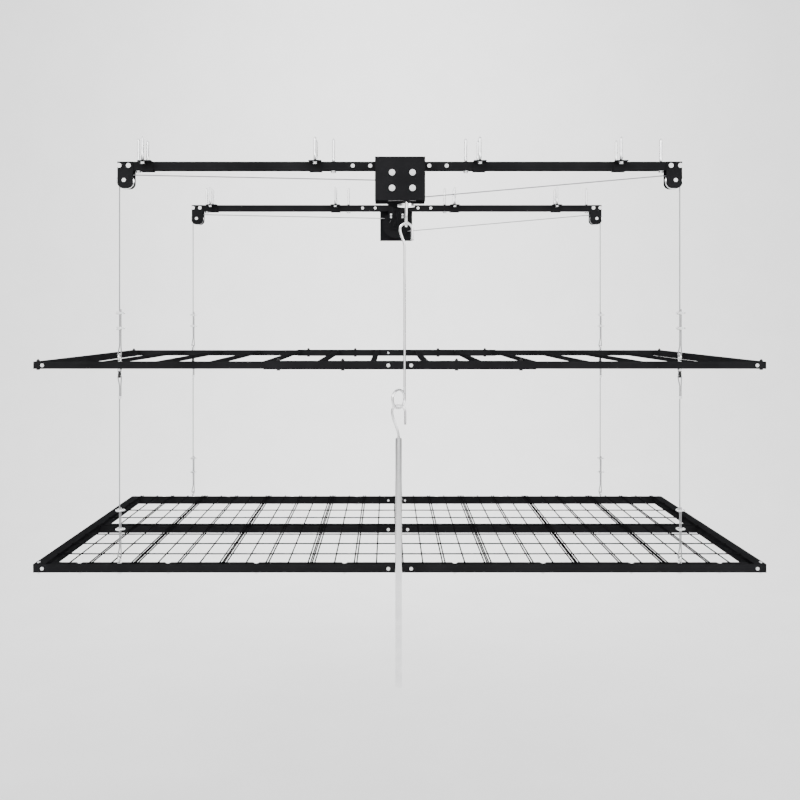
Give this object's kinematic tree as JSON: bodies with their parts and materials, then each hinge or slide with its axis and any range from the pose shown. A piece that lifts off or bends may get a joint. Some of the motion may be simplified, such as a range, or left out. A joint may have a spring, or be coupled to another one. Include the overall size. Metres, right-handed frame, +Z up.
{
  "type": "ceiling mounted pulley rack",
  "caption": "Ceiling storage rack with a slatted upper tier and a wire-decked lower tier, raised on wire ropes over pulleys by a worm winch and a hanging crank.",
  "frame": {"origin": "on the ceiling plane, midway between the two rails and at the middle of their length", "axes": "+X to the right along the rails, +Y from the winch towards the rear rail, +Z up"},
  "size_m": [2.438, 1.3648, 1.788],
  "materials": {
    "black_powder_coat": "fine textured black powder coat",
    "black_wire_coat": "black coated steel wire",
    "gearbox_casting": "dark cast housing",
    "bronze": "machined bronze",
    "wire_rope": "galvanised stranded wire rope",
    "bright_chrome": "bright plated steel",
    "black_fastener": "blackened fastener",
    "zinc_steel": "bright zinc plated steel"
  },
  "bodies": {
    "ceiling_frame": {"rail_front_left": "black_powder_coat", "rail_front_right": "black_powder_coat", "rail_rear_left": "black_powder_coat", "rail_rear_right": "black_powder_coat", "rail_splices": "black_powder_coat", "splice_bolts": "zinc_steel", "joist_brackets": "black_powder_coat", "bracket_lag_screws": "zinc_steel", "rail_lag_screws": "zinc_steel", "pulley_cheeks": "black_powder_coat", "pulley_axle_bolts": "zinc_steel", "cheek_bolts": "zinc_steel", "winch_cover": "black_powder_coat", "winch_back_plate": "black_powder_coat", "cover_bolts": "zinc_steel", "gearbox_housing": "gearbox_casting", "shaft_bushings": "bronze", "rear_drum_plate": "black_powder_coat", "shaft_hangers": "black_powder_coat", "hanger_screws": "zinc_steel", "cable_runs": "wire_rope", "cable_drops": "wire_rope"},
    "drum_shaft": {"worm_wheel": "bronze", "drive_shaft": "zinc_steel", "rear_stub_shaft": "zinc_steel", "torque_tube": "black_powder_coat", "cable_drum_front": "black_powder_coat", "cable_drum_rear": "black_powder_coat", "drum_cable_wraps": "wire_rope"},
    "input_worm": {"worm_shaft": "zinc_steel", "input_disc": "bright_chrome", "input_eye": "bright_chrome"},
    "crank_rod": {"crank_rod": "bright_chrome"},
    "crank_handle": {"crank_hook": "bright_chrome", "crank_tube": "bright_chrome"},
    "platforms": {"main_cable_ends": "wire_rope", "rope_clips": "zinc_steel", "lower_cables": "wire_rope", "cable_ferrules": "zinc_steel", "eyebolts": "zinc_steel", "coupling_eyes": "black_fastener", "upper_beam_front": "black_powder_coat", "upper_beam_rear": "black_powder_coat", "upper_sleeves": "black_powder_coat", "upper_end_beams": "black_powder_coat", "upper_slats": "black_powder_coat", "upper_side_bolts": "zinc_steel", "upper_standing_bolts": "black_fastener", "lower_beam_front": "black_powder_coat", "lower_beam_rear": "black_powder_coat", "lower_mid_beam": "black_powder_coat", "lower_end_beams": "black_powder_coat", "lower_side_bolts": "zinc_steel", "lower_standing_bolts": "zinc_steel", "deck_clips": "zinc_steel", "deck_panels": "black_wire_coat"},
    "pulley_front_left": {"pulley_front_left": "zinc_steel"},
    "pulley_front_right": {"pulley_front_right": "zinc_steel"},
    "pulley_rear_left": {"pulley_rear_left": "zinc_steel"},
    "pulley_rear_right": {"pulley_rear_right": "zinc_steel"}
  },
  "joints": [
    {"name": "platform_lift", "type": "slide", "parent": "ceiling_frame", "child": "platforms", "axis": [0, 0, 1], "range_m": [-1.04694, 0.24347], "deforming": ["cable_drops"]},
    {"name": "drum_turn", "type": "hinge", "parent": "ceiling_frame", "child": "drum_shaft", "pos_m": [-0.004, 0, -0.092], "axis": [0, 1, 0], "continuous": true},
    {"name": "pulley_turn_front_left", "type": "hinge", "parent": "ceiling_frame", "child": "pulley_front_left", "pos_m": [-0.915, -0.592, -0.062], "axis": [0, 1, 0], "continuous": true},
    {"name": "pulley_turn_front_right", "type": "hinge", "parent": "ceiling_frame", "child": "pulley_front_right", "pos_m": [0.915, -0.592, -0.062], "axis": [0, 1, 0], "continuous": true},
    {"name": "pulley_turn_rear_left", "type": "hinge", "parent": "ceiling_frame", "child": "pulley_rear_left", "pos_m": [-0.915, 0.592, -0.062], "axis": [0, 1, 0], "continuous": true},
    {"name": "pulley_turn_rear_right", "type": "hinge", "parent": "ceiling_frame", "child": "pulley_rear_right", "pos_m": [0.915, 0.592, -0.062], "axis": [0, 1, 0], "continuous": true},
    {"name": "worm_turn", "type": "hinge", "parent": "ceiling_frame", "child": "input_worm", "pos_m": [0.02, -0.677, -0.145], "axis": [0, 0, 1], "continuous": true},
    {"name": "crank_rod_lift", "type": "slide", "parent": "input_worm", "child": "crank_rod", "axis": [0, 0, 1], "range_m": [0, 0.02]},
    {"name": "crank_handle_lift", "type": "slide", "parent": "crank_rod", "child": "crank_handle", "axis": [0, 0, 1], "range_m": [0, 0.02]}
  ],
  "couplings": [
    {"joint": "drum_turn", "follows": "platform_lift", "rad_per_m": 32.258},
    {"joint": "pulley_turn_front_left", "follows": "platform_lift", "rad_per_m": 50},
    {"joint": "pulley_turn_front_right", "follows": "platform_lift", "rad_per_m": -50},
    {"joint": "pulley_turn_rear_left", "follows": "platform_lift", "rad_per_m": 50},
    {"joint": "pulley_turn_rear_right", "follows": "platform_lift", "rad_per_m": -50},
    {"joint": "worm_turn", "follows": "platform_lift", "rad_per_m": 774.19}
  ]
}
